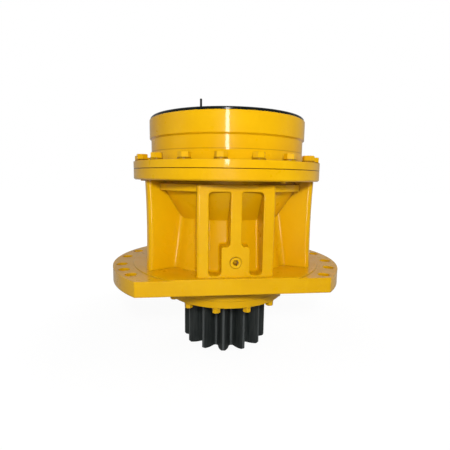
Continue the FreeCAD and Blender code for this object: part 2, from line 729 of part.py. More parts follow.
def draw_plug_circle(sketch, radius):
    """A circle about the level plug's axis."""
    circle = Part.Circle(Vector(0, float(plug_height), 0), Vector(0, 0, 1), float(radius))
    index = sketch.addGeometry(circle, False)
    hold(sketch, "DistanceX", index, 3, origin)
    hold(sketch, "DistanceY", index, 3, plug_height)
    constraint = sketch.addConstraint(Sketcher.Constraint("Radius", index, float(radius)))
    sketch.setExpression(f"Constraints[{constraint}]", formula_of(radius))


# Gear teeth

def involute(angle):
    """The involute function of a pressure angle in radians."""
    return math.tan(angle) - angle


def gear_face(teeth, pitch_radius, tip_radius, root_radius, half_thickness, flank_angle, round_valleys=False):
    """A toothed disc, one tooth centred on +X; each flank is the arc through three involute points.

    half_thickness is half a tooth's arc length on the pitch circle. A round valley is one arc from flank
    to flank; otherwise short radial lines lead down to the root circle.
    """
    pressure = math.radians(flank_angle)
    base_radius = pitch_radius * math.cos(pressure)

    def flank_point(radius, side):
        pressure_there = math.acos(min(1.0, base_radius / radius))
        half_angle = half_thickness / pitch_radius + involute(pressure) - involute(pressure_there)
        return Vector(radius * math.cos(half_angle), side * radius * math.sin(half_angle), 0)

    flank_start = max(root_radius, base_radius)
    radii = (flank_start, (flank_start + tip_radius) / 2, tip_radius)
    rise = [flank_point(radius, -1) for radius in radii]
    fall = [flank_point(radius, 1) for radius in reversed(radii)]
    tooth = [Part.Arc(*rise).toShape(),
             Part.Arc(rise[2], Vector(tip_radius, 0, 0), fall[0]).toShape(),
             Part.Arc(*fall).toShape()]
    start = rise[0] * (root_radius / flank_start)
    finish = fall[2] * (root_radius / flank_start)
    if round_valleys:
        start, finish = rise[0], fall[2]
    elif flank_start > root_radius:
        tooth.insert(0, Part.makeLine(start, rise[0]))
        tooth.append(Part.makeLine(fall[2], finish))
    step = 2 * math.pi / teeth
    next_start = Rotation(Vector(0, 0, 1), math.degrees(step)).multVec(start)
    valley = Vector(root_radius * math.cos(step / 2), root_radius * math.sin(step / 2), 0)
    tooth.append(Part.Arc(finish, valley, next_start).toShape())
    edges = []
    for index in range(teeth):
        for edge in tooth:
            copy = edge.copy()
            copy.rotate(Vector(0, 0, 0), Vector(0, 0, 1), math.degrees(step * index))
            edges.append(copy)
    return Part.Face(Part.Wire(edges))


def wheel_face(teeth):
    """The end face of a sun or planet of the planetary train."""
    pitch = float(gear_module) * teeth / 2
    thickness = math.pi * float(gear_module) / 4 - float(flank_thinning) / 2
    return gear_face(teeth, pitch, pitch + float(gear_module), pitch - float(gear_module * gear_dedendum),
                     thickness, float(pressure_angle))


def spline_face(teeth, radius, growth):
    """The section of a splined shaft, or with a growth that of the bore round it."""
    pitch = radius - float(spline_tooth_depth) / 2
    thickness = math.pi * pitch / teeth / 2 + growth
    return gear_face(teeth, pitch, radius + growth, radius - float(spline_tooth_depth) + growth, thickness,
                     float(pressure_angle))


def prism(face, bottom, top):
    """A face carried upwards from one height to another."""
    solid = face.extrude(Vector(0, 0, float(top) - float(bottom)))
    solid.translate(Vector(0, 0, float(bottom)))
    return solid


def rod(radius, bottom, top, x=0.0, y=0.0):
    """An upright cylinder between two heights."""
    return Part.makeCylinder(float(radius), float(top) - float(bottom), Vector(x, y, float(bottom)))


def shape_part(name, shape, place=Placement()):
    """A sub-part whose shape is worked out here from the sheet's sizes."""
    feature = doc.addObject("Part::Feature", name)
    feature.Label = name
    feature.Shape = shape
    feature.Placement = place.multiply(shape.Placement)
    return feature


def boolean(kind, name, base, tool):
    """A cut or a fuse of two objects of the document."""
    feature = doc.addObject(kind, name)
    feature.Label = name
    feature.Base = base
    feature.Tool = tool
    doc.recompute()
    return feature


def train_phase(sun_teeth, planet_teeth, first_planet_angle):
    """Angles in radians that bring one stage into mesh with a ring tooth centred on +X.

    Gives the sun's turn and the turn of each planet, with the planets evenly spaced.
    """
    sun_turn = ((int(ring_teeth) + sun_teeth) * first_planet_angle + math.pi * planet_teeth) / sun_teeth
    planets = []
    for index in range(int(planet_count)):
        place = first_planet_angle + 2 * math.pi * index / int(planet_count)
        sun_phase = sun_teeth * (place - sun_turn) / (2 * math.pi)
        planets.append((place, place + math.pi - 2 * math.pi / planet_teeth * (0.5 - sun_phase)))
    return sun_turn, planets


# Ring gear

def make_ring_gear():
    """The ring gear: a flanged drum outside, one broached set of teeth for both stages inside."""
    body = new_body("ring_gear_blank")
    register_floor = ring_top_height - ring_register_depth
    outer_step = ring_radius - ring_lower_radius
    bore = ring_tip_radius
    add_turn(body, "ring_drum", [
        (bore, joint_height), (flange_radius - joint_chamfer, joint_height),
        (flange_radius, joint_height + joint_chamfer), (flange_radius, ring_flange_top),
        (ring_flare_radius + outer_step, ring_flange_top),
        (ring_flare_radius, ring_flange_top + outer_step),
        (ring_flare_radius - outer_step, ring_flare_middle),
        (ring_lower_radius, ring_flare_top), (ring_lower_radius, ring_band_bottom - outer_step),
        (ring_radius, ring_band_bottom), (ring_radius, ring_top_height - ring_top_chamfer),
        (ring_radius - ring_top_chamfer, ring_top_height), (ring_register_radius, ring_top_height),
        (ring_register_radius, register_floor), (bore, register_floor)])
    holes_round(body, "flange_clearance", flange_hole_radius, flange_bolt_circle, flange_bolt_azimuth,
                flange_bolt_count, joint_height - overrun, ring_flange_thickness + overrun * 2)
    dowels = new_sketch(body, "ring_dowel_places", "XY_Plane", joint_height - overrun)
    for azimuth in (dowel_left_azimuth, dowel_right_azimuth):
        draw_circle(dowels, dowel_radius + press_gap, dowel_circle, azimuth)
    pocket(body, dowels, "ring_dowel_holes", dowel_length)
    peg_hole = new_sketch(body, "peg_place", "XY_Plane", ring_top_height - peg_depth)
    draw_circle(peg_hole, peg_radius + press_gap, peg_circle, peg_azimuth)
    pocket(body, peg_hole, "peg_hole", peg_depth + overrun)
    space_half = math.pi * float(gear_module) / 4 + float(flank_thinning) / 2
    spaces = gear_face(int(ring_teeth), float(ring_pitch_radius), float(ring_root_radius),
                       float(ring_tip_radius) - overrun, space_half, float(pressure_angle))
    spaces.rotate(Vector(0, 0, 0), Vector(0, 0, 1), 180.0 / int(ring_teeth))
    broach = shape_part("ring_broach", prism(spaces, joint_height - overrun, ring_top_height + overrun))
    return boolean("Part::Cut", "ring_gear", body, broach)


# Planetary stages

def make_suns_and_planets():
    """The toothed wheels of both stages, their bushes, and where each planet stands."""
    parts = []
    stages = {}
    for stage, sun, planet, distance, bottom, top, pin, bush, start in (
            ("second", second_sun_teeth, second_planet_teeth, second_centre_distance, second_gear_bottom,
             second_gear_top, second_pin_radius, second_bush_radius, -90.0),
            ("first", first_sun_teeth, first_planet_teeth, first_centre_distance, first_gear_bottom,
             first_gear_top, first_pin_radius, first_bush_radius, -90.0)):
        sun_turn, planets = train_phase(int(sun), int(planet), math.radians(start))
        stages[stage] = sun_turn
        for index, (place, turn) in enumerate(planets, start=1):
            seat = Vector(math.cos(place), math.sin(place), 0) * float(distance)
            stand = Placement(seat, Rotation(Vector(0, 0, 1), math.degrees(turn)))
            wheel = prism(wheel_face(int(planet)), bottom, top)
            wheel = wheel.cut(rod(bush + press_gap, bottom - overrun, top + overrun))
            parts.append(shape_part(f"{stage}_planet_{index}", wheel, stand))
            sleeve = rod(bush, bottom, top).cut(rod(pin + running_gap, bottom - overrun, top + overrun))
            parts.append(shape_part(f"{stage}_planet_bush_{index}", sleeve, stand))
    second_sun = prism(wheel_face(int(second_sun_teeth)), second_gear_bottom, second_gear_top)
    spline = prism(spline_face(int(sun_spline_teeth), float(sun_spline_radius), 0.0), second_gear_top,
                   first_floor)
    second_sun.rotate(Vector(0, 0, 0), Vector(0, 0, 1), math.degrees(stages["second"]))
    parts.append(shape_part("second_sun", second_sun.fuse(spline)))
    first_sun = prism(wheel_face(int(first_sun_teeth)), first_gear_bottom, first_gear_top)
    first_sun.rotate(Vector(0, 0, 0), Vector(0, 0, 1), math.degrees(stages["first"]))
    first_sun = first_sun.fuse(rod(first_sun_tail_radius, first_gear_top, first_gear_top + first_sun_tail))
    socket = prism(spline_face(int(motor_spline_teeth), float(motor_spline_radius), 0.0),
                   first_gear_bottom - overrun, first_gear_top + first_sun_tail + overrun)
    parts.append(shape_part("first_sun", first_sun.cut(socket)))
    return parts


def carrier(name, plate_bottom, floor, cap_bottom, cap_top, cap_bore, hub_radius, hub_bottom, counterbore,
            pin_radius, centre_distance, spline):
    """A two-sided planet carrier: hub and floor plate, three webs, a cap plate and pin bores."""
    body = new_body(name + "_casting")
    outline = [(origin, hub_bottom), (hub_radius, hub_bottom), (hub_radius, plate_bottom),
               (carrier_radius, plate_bottom), (carrier_radius, floor), (origin, floor)]
    if counterbore is not None:
        radius, level = counterbore
        outline = outline[:-1] + [(radius, floor), (radius, level), (origin, level)]
    add_turn(body, name + "_floor", outline)
    webs = new_sketch(body, name + "_web_place", "XY_Plane", floor)
    draw_circle(webs, web_radius, web_circle, half_turn / planet_count)
    web = pad(body, webs, name + "_web", cap_bottom - floor)
    polar(body, web, name + "_webs", planet_count)
    cap = new_sketch(body, name + "_cap_edge", "XY_Plane", cap_bottom)
    draw_circle(cap, carrier_radius)
    draw_circle(cap, cap_bore)
    pad(body, cap, name + "_cap", cap_top - cap_bottom)
    holes_round(body, name + "_pin_bore", pin_radius + press_gap, centre_distance, origin, planet_count,
                plate_bottom - overrun, cap_top - plate_bottom + overrun * 2)
    bore = shape_part(name + "_spline", prism(spline, hub_bottom - overrun, float(floor) + overrun))
    return boolean("Part::Cut", name, body, bore)


def make_carriers():
    """Both carriers with their pins and thrust washers."""
    parts = [
        carrier("second_carrier", second_carrier_bottom, second_floor, second_cap_bottom, second_cap_top,
                second_cap_bore, second_hub_radius, upper_bearing_top,
                (lock_plate_radius + lock_plate_clearance, second_carrier_bottom + end_float),
                second_pin_radius, second_centre_distance,
                spline_face(int(shaft_spline_teeth), float(shaft_spline_radius), float(seat_gap))),
        carrier("first_carrier", first_carrier_bottom, first_floor, first_cap_bottom, first_cap_top,
                first_cap_bore, first_hub_radius, first_carrier_bottom - first_hub_drop, None,
                first_pin_radius, first_centre_distance,
                spline_face(int(sun_spline_teeth), float(sun_spline_radius), float(seat_gap)))]
    for stage, pin, distance, plate_bottom, floor, cap_bottom, cap_top in (
            ("second", second_pin_radius, second_centre_distance, second_carrier_bottom, second_floor,
             second_cap_bottom, second_cap_top),
            ("first", first_pin_radius, first_centre_distance, first_carrier_bottom, first_floor,
             first_cap_bottom, first_cap_top)):
        post = doc.addObject("Part::Cylinder", f"{stage}_pin")
        post.setExpression("Radius", formula_of(pin))
        post.setExpression("Height", formula_of(cap_top - plate_bottom))
        post.setExpression("Placement.Base.y", formula_of(-distance))
        post.setExpression("Placement.Base.z", formula_of(plate_bottom))
        doc.recompute()
        parts.append(ring_copies(f"{stage}_planet_pins", post, planet_count, 0))
        washers = []
        for level in (floor, cap_bottom - thrust_thickness):
            washer = rod(thrust_radius, level, level + thrust_thickness)
            washer = washer.cut(rod(pin + seat_gap, level - overrun, level + thrust_thickness + overrun))
            washer.translate(Vector(0, -float(distance), 0))
            washers.append(washer)
        pair = shape_part(f"{stage}_thrust_washer_pair", Part.makeCompound(washers))
        parts.append(ring_copies(f"{stage}_thrust_washers", pair, planet_count, 0))
    for stage, floor, radius, bore in (
            ("second", second_floor, second_sun_ring_radius, second_sun_ring_bore),
            ("first", first_floor, first_sun_ring_radius, first_sun_ring_bore)):
        parts.append(turned(f"{stage}_sun_thrust_ring", [
            (bore, floor), (radius, floor), (radius, floor + thrust_thickness),
            (bore, floor + thrust_thickness)]))
    return parts


# Output shaft and bearings

def make_pinion_shaft():
    """The output pinion, forged in one piece with its shaft."""
    module = float(pinion_module)
    pitch = module * int(pinion_teeth) / 2
    tip = pitch + module * (1 + float(pinion_shift))
    root = pitch - module * (float(gear_dedendum) - float(pinion_shift))
    half_thickness = module * (math.pi / 4 + float(pinion_shift) * math.tan(math.radians(pressure_angle)))
    section = gear_face(int(pinion_teeth), pitch, tip, root, half_thickness, float(pressure_angle),
                        round_valleys=True)
    teeth = prism(section, pinion_bottom, pinion_top)
    teeth.rotate(Vector(0, 0, 0), Vector(0, 0, 1), float(pinion_azimuth) - 90)
    chamfer = float(pinion_chamfer)
    envelope = rod(tip + 1, float(pinion_bottom) + chamfer, float(pinion_top) - chamfer)
    for low, high, small, large in (
            (float(pinion_bottom), float(pinion_bottom) + chamfer, tip - chamfer, tip),
            (float(pinion_top) - chamfer, float(pinion_top), tip, tip - chamfer)):
        envelope = envelope.fuse(Part.makeCone(small, large, high - low, Vector(0, 0, low)))
    pinion = shape_part("pinion_teeth", teeth.common(envelope))
    shaft = turned("pinion_journals", [
        (origin, pinion_top - overrun), (land_radius, pinion_top - overrun), (land_radius, lower_bearing_bottom),
        (journal_radius, lower_bearing_bottom), (journal_radius, upper_bearing_bottom - journal_step),
        (upper_journal_radius, upper_bearing_bottom - journal_step),
        (upper_journal_radius, upper_bearing_top),
        (origin, upper_bearing_top)])
    spline = shape_part("shaft_spline", prism(
        spline_face(int(shaft_spline_teeth), float(shaft_spline_radius), 0.0), upper_bearing_top - overrun,
        shaft_top))
    forging = boolean("Part::Fuse", "pinion_forging", pinion, shaft)
    forging = boolean("Part::Fuse", "splined_forging", forging, spline)
    tapped = rod(lock_bolt_radius + seat_gap, shaft_top - lock_bolt_length, shaft_top + overrun, 0.0,
                 -float(lock_bolt_circle))
    hole = shape_part("lock_bolt_hole", tapped)
    holes = ring_copies("lock_bolt_holes", hole, lock_bolt_count, 0)
    return boolean("Part::Cut", "pinion_shaft", forging, holes)


def make_bearing(name, bottom, width, bore, outer, roller_radius, roller_count, opens_down):
    """A tapered roller bearing: both rings, the rollers and their cage.

    The rollers lean so that their axes meet on the gearbox axis, and each ring's raceway is the cone
    that touches them, held off by the running clearance.
    """
    bottom, width, bore, outer = float(bottom), float(width), float(bore), float(outer)
    radius = float(roller_radius)
    middle = bottom + width / 2
    mean = (bore + outer) / 2
    tilt = math.radians(roller_tilt)
    spread = math.atan(radius * math.sin(tilt) / mean)
    away = 1 if opens_down else -1
    apex = middle + away * mean / math.tan(tilt)

    def raceway(height, angle, gap):
        return abs(apex - height) * math.tan(angle) + gap

    top = bottom + width
    gap = float(running_gap)
    inner_low = raceway(bottom, tilt - spread, -gap)
    inner_high = raceway(top, tilt - spread, -gap)
    outer_low = raceway(bottom, tilt + spread, gap)
    outer_high = raceway(top, tilt + spread, gap)
    rings = []
    for part, points in (
            ("inner_ring", [(bore, bottom), (inner_low, bottom), (inner_high, top), (bore, top)]),
            ("outer_ring", [(outer_low, bottom), (outer, bottom), (outer, top), (outer_high, top)])):
        section = Part.makePolygon([Vector(x, 0, z) for x, z in points + points[:1]])
        ring = Part.Face(section).revolve(Vector(0, 0, 0), Vector(0, 0, 1), 360)
        rings.append(shape_part(f"{name}_{part}", ring))
    length = (width - 2 * float(roller_end_space)) / math.cos(tilt)
    axis = Vector(0, -math.sin(tilt), -math.cos(tilt) * away)
    centre = Vector(0, -mean, middle)
    taper = math.tan(spread) * length / 2
    small, large = radius - taper, radius + taper
    roller = Part.makeCone(small, large, length, centre - axis * (length / 2), axis)
    roller_piece = shape_part(f"{name}_roller", roller)
    rollers = ring_copies(f"{name}_rollers", roller_piece, roller_count, 0)
    window = float(cage_window_gap)
    grown = Part.makeCone(small + window, large + window, length + 2 * window,
                          centre - axis * (length / 2 + window), axis)
    half = float(cage_thickness) / 2
    low, high = bottom + float(cage_end_gap), top - float(cage_end_gap)

    def middle_line(height):
        return abs(apex - height) * math.tan(tilt)

    cage_points = [(middle_line(low) - half, low), (middle_line(low) + half, low),
                   (middle_line(high) + half, high), (middle_line(high) - half, high)]
    section = Part.makePolygon([Vector(x, 0, z) for x, z in cage_points + cage_points[:1]])
    shell = Part.Face(section).revolve(Vector(0, 0, 0), Vector(0, 0, 1), 360)
    windows = []
    for index in range(int(roller_count)):
        copy = grown.copy()
        copy.rotate(Vector(0, 0, 0), Vector(0, 0, 1), 360.0 * index / int(roller_count))
        windows.append(copy)
    cage = shape_part(f"{name}_cage", shell.cut(windows))
    return rings + [rollers, cage]


def make_shaft_furniture():
    """Spacer, lock plate and its bolts."""
    parts = [turned("bearing_spacer", [
        (journal_radius + press_gap, lower_bearing_top),
        (journal_radius + spacer_wall, lower_bearing_top),
        (journal_radius + spacer_wall, upper_bearing_bottom),
        (journal_radius + press_gap, upper_bearing_bottom)])]
    plate_bottom = second_carrier_bottom + end_float
    plate = turned("lock_plate_disc", [
        (origin, plate_bottom), (lock_plate_radius, plate_bottom),
        (lock_plate_radius, plate_bottom + lock_plate_thickness),
        (origin, plate_bottom + lock_plate_thickness)])
    holes_round(plate, "lock_plate_hole", lock_bolt_radius + seat_gap, lock_bolt_circle, origin,
                lock_bolt_count, plate_bottom - overrun, lock_plate_thickness + overrun * 2)
    plate.Label = "shaft_lock_plate"
    parts.append(plate)
    bolt = hex_bolt("lock_bolt", lock_bolt_radius, lock_bolt_length, lock_bolt_flats, lock_bolt_head)
    head_seat = Vector(0, -float(lock_bolt_circle), float(plate_bottom + lock_plate_thickness))
    bolt.Placement = Placement(head_seat, Rotation())
    parts.append(ring_copies("lock_plate_bolts", bolt, lock_bolt_count, 0))
    return parts


# Fasteners

def hex_bolt(name, radius, length, flats, head):
    """A hexagon bolt: its head stands on Z = 0 and its shank hangs below, with the head's corners cut."""
    corner = float(flats) / math.sqrt(3)
    angles = [math.radians(60 * index) for index in range(7)]
    outline = Part.makePolygon([Vector(corner * math.cos(a), corner * math.sin(a), 0) for a in angles])
    block = Part.Face(outline).extrude(Vector(0, 0, float(head)))
    bevel = (corner - float(flats) / 2) * float(bolt_bevel_share)
    dome = rod(corner, 0, float(head) - bevel)
    crown = Part.makeCone(corner, float(flats) / 2, bevel, Vector(0, 0, float(head) - bevel))
    block = block.common(dome.fuse(crown))
    shank = Part.makeCylinder(float(radius), float(length), Vector(0, 0, -float(length)))
    return shape_part(name, block.fuse(shank).removeSplitter())


def make_flange_joint():
    """Bolts, washers, dowels and the seal between the casing and the ring gear."""
    bolt = hex_bolt("flange_bolt", flange_bolt_radius, flange_bolt_length, flange_bolt_flats, flange_bolt_head)
    bolt.Placement = Placement(Vector(0, -float(flange_bolt_circle), float(washer_top)), Rotation())
    washer = rod(washer_radius, 0, washer_thickness)
    washer = washer.cut(rod(flange_bolt_radius + seat_gap, -overrun, washer_thickness + overrun))
    washer = shape_part("flange_washer", washer)
    washer.Placement = Placement(Vector(0, -float(flange_bolt_circle), float(ring_flange_top)), Rotation())
    parts = [ring_copies("flange_bolts", bolt, flange_bolt_count, flange_bolt_azimuth, bolt_turn),
             ring_copies("flange_washers", washer, flange_bolt_count, flange_bolt_azimuth)]
    dowels = []
    low = flange_underside - dowel_end_below_flange
    for azimuth in (dowel_left_azimuth, dowel_right_azimuth):
        dowels.append(rod(dowel_radius, low, low + dowel_length, float(polar_x(dowel_circle, azimuth)),
                          float(polar_y(dowel_circle, azimuth))))
    parts.append(shape_part("dowel_pins", Part.makeCompound(dowels)))
    half = seal_groove_width / 2 - seat_gap
    low = joint_height - seal_groove_depth
    parts.append(turned("joint_seal", [
        (seal_groove_radius - half, low), (seal_groove_radius + half, low),
        (seal_groove_radius + half, joint_height), (seal_groove_radius - half, joint_height)]))
    return parts


def make_cover():
    """The transport cover on the motor end and the thin peg that stands through it."""
    top = ring_top_height + cover_thickness
    lip_outer = ring_register_radius - end_float
    lip_inner = lip_outer - cover_lip_width
    cover = turned("transport_cover", [
        (origin, ring_top_height), (lip_inner, ring_top_height), (lip_inner, ring_top_height - cover_lip_depth),
        (lip_outer, ring_top_height - cover_lip_depth), (lip_outer, ring_top_height),
        (cover_radius, ring_top_height), (cover_radius, top - cover_edge), (cover_radius - cover_edge, top),
        (origin, top)])
    hole = new_sketch(cover, "cover_peg_place", "XY_Plane", ring_top_height - overrun)
    draw_circle(hole, peg_radius + press_gap, peg_circle, peg_azimuth)
    pocket(cover, hole, "cover_peg_hole", cover_thickness + overrun * 2)
    peg = doc.addObject("Part::Cylinder", "cover_peg")
    peg.Label = "cover_peg"
    peg.setExpression("Radius", formula_of(peg_radius))
    peg.setExpression("Height", formula_of(peg_top_height - ring_top_height + peg_depth))
    peg.setExpression("Placement.Base.x", formula_of(polar_x(peg_circle, peg_azimuth)))
    peg.setExpression("Placement.Base.y", formula_of(polar_y(peg_circle, peg_azimuth)))
    peg.setExpression("Placement.Base.z", formula_of(ring_top_height - peg_depth))
    return [cover, peg]


def make_plug():
    """The level plug with its hexagon socket, and the gasket under its collar."""
    seat = float(front_face) - float(plug_spot_depth)
    gasket = float(gasket_thickness)
    collar = float(plug_collar_height)
    stem = Part.makeCylinder(float(plug_thread_radius), float(plug_thread_length), Vector(0, 0, -gasket),
                             Vector(0, 0, -1))
    neck = Part.makeCylinder(float(plug_thread_radius), gasket, Vector(0, 0, -gasket))
    disc = Part.makeCylinder(float(plug_collar_radius), collar)
    corner = float(plug_socket_flats) / math.sqrt(3)
    hexagon = Part.makePolygon([Vector(corner * math.cos(math.radians(60 * k)),
                                       corner * math.sin(math.radians(60 * k)), collar) for k in range(7)])
    socket = Part.Face(hexagon).extrude(Vector(0, 0, -float(plug_socket_depth)))
    plug = disc.fuse([neck, stem]).removeSplitter().cut(socket)
    stand = Placement(Vector(0, -seat - gasket, float(plug_height)), Rotation(Vector(1, 0, 0), 90))
    washer = Part.makeCylinder(float(plug_collar_radius), gasket, Vector(0, 0, -gasket))
    washer = washer.cut(Part.makeCylinder(float(plug_thread_radius) + float(seat_gap), gasket + 2,
                                          Vector(0, 0, -gasket - 1)))
    return [shape_part("level_plug", plug, stand), shape_part("plug_gasket", washer, stand)]


def make_retainer():
    """The seal retainer under the nose with its bolts, and the oil seal on the pinion's land."""
    body = turned("seal_retainer", [
        (retainer_bore, retainer_bottom), (nose_radius, retainer_bottom), (nose_radius, -nose_depth),
        (lower_bearing_radius - seat_gap, -nose_depth),
        (lower_bearing_radius - seat_gap, lower_bearing_bottom), (oil_seal_radius, lower_bearing_bottom),
        (oil_seal_radius, retainer_bottom + oil_seal_lip), (retainer_bore, retainer_bottom + oil_seal_lip)])
    holes_round(body, "retainer_hole", retainer_hole_radius, retainer_bolt_circle, retainer_bolt_azimuth,
                retainer_bolt_count, retainer_bottom - overrun, retainer_thickness + overrun * 2)
    bolt = hex_bolt("retainer_bolt", retainer_bolt_radius, retainer_bolt_length, retainer_bolt_flats,
                    retainer_bolt_head)
    low = float(retainer_bottom) - float(retainer_washer_thickness)
    bolt.Placement = Placement(Vector(0, -float(retainer_bolt_circle), low), Rotation(Vector(1, 0, 0), 180))
    washer = rod(retainer_washer_radius, low, retainer_bottom, 0.0, -float(retainer_bolt_circle))
    washer = washer.cut(rod(retainer_bolt_radius + seat_gap, low - overrun, retainer_bottom + overrun, 0.0,
                            -float(retainer_bolt_circle)))
    washer = shape_part("retainer_washer", washer)
    seal_low = retainer_bottom + oil_seal_lip
    lip = land_radius + running_gap
    seal = turned("output_oil_seal", [
        (lip + oil_seal_lip, seal_low), (oil_seal_radius - press_gap, seal_low),
        (oil_seal_radius - press_gap, seal_low + oil_seal_width),
        (lip + oil_seal_lip, seal_low + oil_seal_width), (lip, seal_low + oil_seal_width - oil_seal_lip / 2),
        (lip, seal_low + oil_seal_width - oil_seal_lip), (lip + oil_seal_lip, seal_low + oil_seal_width / 2)])
    return [body, ring_copies("retainer_bolts", bolt, retainer_bolt_count, retainer_bolt_azimuth, bolt_turn),
            ring_copies("retainer_washers", washer, retainer_bolt_count, retainer_bolt_azimuth), seal]


# The whole gearbox

parts = [make_casing(), make_ring_gear()]
parts += make_flange_joint()
parts += make_cover()
parts += make_plug()
parts += make_retainer()
parts.append(make_pinion_shaft())
parts += make_bearing("lower_bearing", lower_bearing_bottom, lower_bearing_width, journal_radius,
                      lower_bearing_radius, lower_roller_radius, lower_roller_count, opens_down=True)
parts += make_bearing("upper_bearing", upper_bearing_bottom, upper_bearing_width, upper_journal_radius,
                      upper_bearing_radius, upper_roller_radius, upper_roller_count, opens_down=False)
parts += make_shaft_furniture()
parts += make_carriers()
parts += make_suns_and_planets()
doc.recompute()

for item in doc.Objects:
    if "Invalid" in item.State or "Error" in item.State:
        raise RuntimeError(f"{item.Name} did not build: {item.State}")
for item in parts:
    if item.Shape.isNull() or not item.Shape.isValid():
        raise RuntimeError(f"{item.Label} has no valid shape")

os.makedirs("parts", exist_ok=True)
for item in parts:
    item.Shape.exportStep(f"parts/{item.Label}.step")
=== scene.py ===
import json
import math

import bpy
import numpy as np
from mathutils import Matrix, Vector


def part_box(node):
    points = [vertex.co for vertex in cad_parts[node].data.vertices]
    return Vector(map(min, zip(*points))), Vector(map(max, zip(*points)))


# Looks of the swing gearbox: glossy yellow paint over a ribbed casting, a black output pinion and a
# black transport cover. Metres, +Z up the gearbox axis, -Y towards the front with the level plug.

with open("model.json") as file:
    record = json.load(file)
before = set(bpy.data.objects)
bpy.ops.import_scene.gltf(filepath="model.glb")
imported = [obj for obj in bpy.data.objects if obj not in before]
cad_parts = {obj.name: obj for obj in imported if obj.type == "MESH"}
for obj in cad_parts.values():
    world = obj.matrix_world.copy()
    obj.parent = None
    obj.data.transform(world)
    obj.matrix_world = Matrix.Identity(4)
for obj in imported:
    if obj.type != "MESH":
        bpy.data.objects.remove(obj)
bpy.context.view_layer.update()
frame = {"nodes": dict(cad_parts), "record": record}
NODES = frame["nodes"]
SLOT_OF = {entry["node"]: entry["material_slot"] for entry in frame["record"]["subparts"]}

# Heights of the joints and of the floor, as the pieces give them
FLANGE_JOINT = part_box("casing")[1].z
WASHER_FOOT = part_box("flange_washers")[0].z
WASHER_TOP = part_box("flange_washers")[1].z
FLOOR_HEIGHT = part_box("pinion_shaft")[0].z

# Heights of two painted lines: a fine one above the flare of the drum, and the plate's shadow on the nose
DRUM_LINE = 0.3195
NOSE_LINE = -0.017

# Radii of the pinion's tips and of the lands between its teeth, along which highlights are painted
PINION_TIP = 0.112
PINION_ROOT = 0.0805


# Node graphs

def map_range(tree, value, low, high, at_low, at_high, interpolation="LINEAR"):
    """Carries low..high to at_low..at_high and holds the ends. An end may be another node's output."""
    made = tree.nodes.new("ShaderNodeMapRange")
    made.interpolation_type = interpolation
    made.clamp = True
    tree.links.new(value, made.inputs["Value"])
    for key, end in (("From Min", low), ("From Max", high), ("To Min", at_low), ("To Max", at_high)):
        if isinstance(end, (int, float)):
            made.inputs[key].default_value = end
        else:
            tree.links.new(end, made.inputs[key])
    return made.outputs["Result"]


